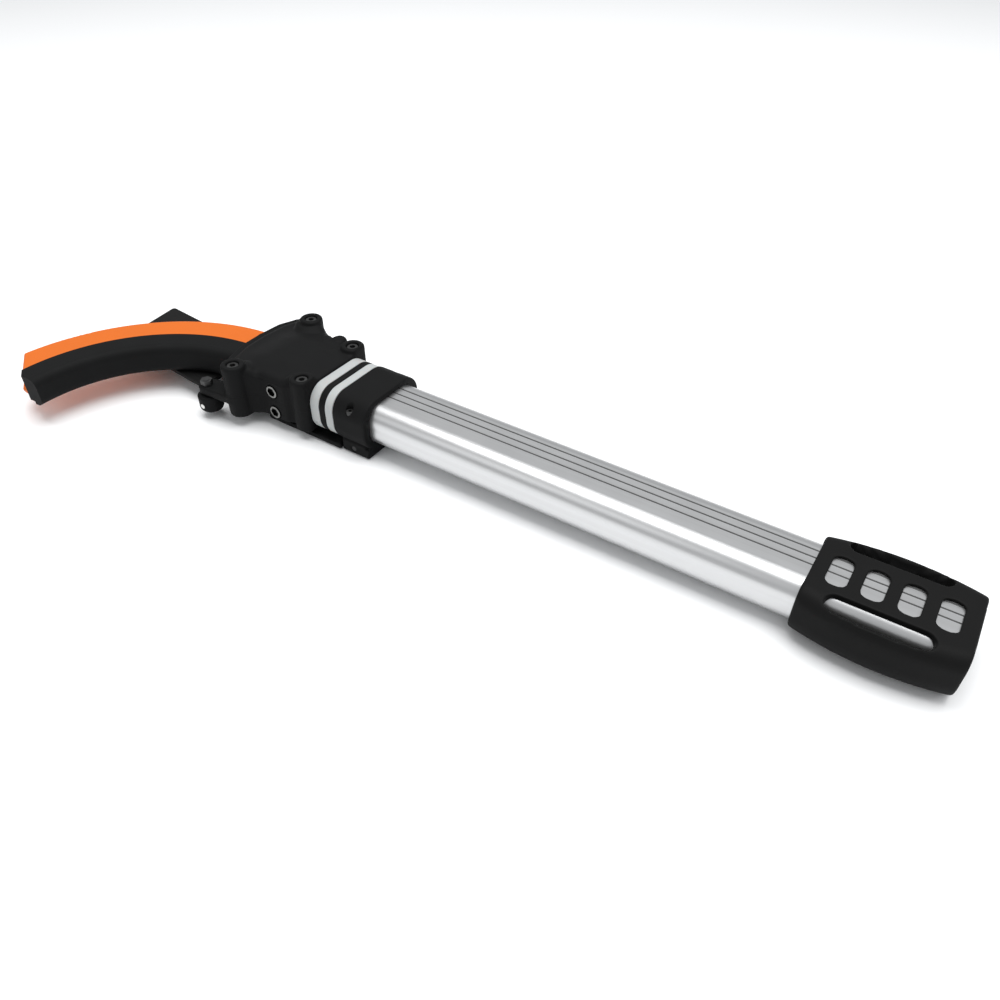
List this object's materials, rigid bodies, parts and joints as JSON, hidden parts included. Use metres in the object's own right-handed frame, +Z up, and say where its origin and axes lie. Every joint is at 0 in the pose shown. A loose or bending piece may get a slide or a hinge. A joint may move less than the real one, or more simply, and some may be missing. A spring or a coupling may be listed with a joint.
{
  "type": "telescoping pole saw",
  "caption": "Curved pull saw on a telescoping flat aluminium pole, with a scabbard over the blade, collars between the stages, a cam lock lever and a rubber grip.",
  "frame": {"origin": "under the middle of the closed saw, on the surface it lies on", "axes": "+X along the pole towards the butt, +Z up away from the surface, +Y towards the blade's spine"},
  "size_m": [0.6622, 0.1767, 0.0484],
  "materials": {
    "anodised_aluminium": "satin anodised, drawn lines along the length",
    "black_nylon": "fine moulded texture",
    "black_rubber": "matte soft grip rubber",
    "grey_plastic": "smooth moulded",
    "orange_plastic": "semi-matte moulded",
    "blackened_steel": "black oxide screws",
    "zinc_steel": "bright zinc plate",
    "blade_steel": "ground, with polished teeth",
    "spring_steel": "drawn wire",
    "white_acetal": "low friction plastic",
    "black_webbing": "woven strap"
  },
  "bodies": {
    "outer_pole": {"outer_tube": "anodised_aluminium", "grip_sleeve": "black_rubber", "butt_cap": "black_nylon", "butt_pin": "zinc_steel", "collar_upper": "black_nylon", "collar_lower": "black_nylon", "collar_screws": "blackened_steel", "lever_pin": "blackened_steel"},
    "lever": {"lock_lever": "black_nylon"},
    "pad": {"brake_pad": "black_rubber"},
    "stage_2": {"stage_2_tube": "anodised_aluminium", "stage_2_ring": "grey_plastic", "rear_shoe_2": "white_acetal", "lock_spring_2": "spring_steel"},
    "stage_3": {"stage_3_tube": "anodised_aluminium", "stage_3_ring": "black_nylon", "rear_shoe_3": "white_acetal", "lock_spring_3": "spring_steel"},
    "stage_4": {"stage_4_tube": "anodised_aluminium", "stage_4_ring": "grey_plastic", "rear_shoe_4": "white_acetal", "lock_spring_4": "spring_steel"},
    "pin_2": {"lock_pin_2": "zinc_steel"},
    "pin_3": {"lock_pin_3": "zinc_steel"},
    "pin_4": {"lock_pin_4": "zinc_steel"},
    "head": {"head_tube": "anodised_aluminium", "rear_shoe_5": "white_acetal", "head_upper_shell": "black_nylon", "head_lower_shell": "black_nylon", "head_screws": "blackened_steel", "head_nuts": "zinc_steel", "side_screws": "zinc_steel", "clamp_upper": "blackened_steel", "clamp_lower": "blackened_steel", "clamp_bolts": "zinc_steel", "clamp_nuts": "zinc_steel", "saw_blade": "blade_steel"},
    "knob": {"clamp_knob": "black_nylon", "knob_stud": "blackened_steel", "knob_pin": "zinc_steel", "stud_nut": "blackened_steel"},
    "scabbard": {"scabbard_shell": "orange_plastic", "scabbard_guard": "black_rubber", "scabbard_rivets": "blackened_steel", "scabbard_tip": "black_nylon", "belt_flap": "black_webbing", "flap_rivets": "blackened_steel"}
  },
  "joints": [
    {"name": "stage_2_slide", "type": "slide", "parent": "outer_pole", "child": "stage_2", "axis": [-1, 0, 0], "range_m": [0, 0.31]},
    {"name": "stage_3_slide", "type": "slide", "parent": "stage_2", "child": "stage_3", "axis": [-1, 0, 0], "range_m": [0, 0.31]},
    {"name": "stage_4_slide", "type": "slide", "parent": "stage_3", "child": "stage_4", "axis": [-1, 0, 0], "range_m": [0, 0.31]},
    {"name": "head_slide", "type": "slide", "parent": "stage_4", "child": "head", "axis": [-1, 0, 0], "range_m": [0, 0.31]},
    {"name": "lever_hinge", "type": "hinge", "parent": "outer_pole", "child": "lever", "pos_m": [-0.07195, 0.03825, 0.0045], "axis": [0, -1, 0], "range_deg": [0, 50]},
    {"name": "pad_slide", "type": "slide", "parent": "outer_pole", "child": "pad", "axis": [0, 0, -1], "range_m": [0, 0.0009]},
    {"name": "lock_pin_2_slide", "type": "slide", "parent": "stage_2", "child": "pin_2", "axis": [0, -1, 0], "range_m": [0, 0.002], "stiffness_N_per_m": 300, "springref_m": 0.003},
    {"name": "lock_pin_3_slide", "type": "slide", "parent": "stage_3", "child": "pin_3", "axis": [0, -1, 0], "range_m": [0, 0.002], "stiffness_N_per_m": 300, "springref_m": 0.003},
    {"name": "lock_pin_4_slide", "type": "slide", "parent": "stage_4", "child": "pin_4", "axis": [0, -1, 0], "range_m": [0, 0.002], "stiffness_N_per_m": 300, "springref_m": 0.003},
    {"name": "knob_turn", "type": "hinge", "parent": "head", "child": "knob", "pos_m": [-0.19695, -0.00875, 0.0095], "axis": [0, 0, 1], "continuous": true},
    {"name": "scabbard_off", "type": "hinge", "parent": "head", "child": "scabbard", "pos_m": [-0.18795, -0.08225, 0.0245], "axis": [0, 0, 1], "range_deg": [0, 100]}
  ],
  "couplings": [
    {"joint": "pad_slide", "follows": "lever_hinge", "m_per_rad": 0.00097}
  ]
}
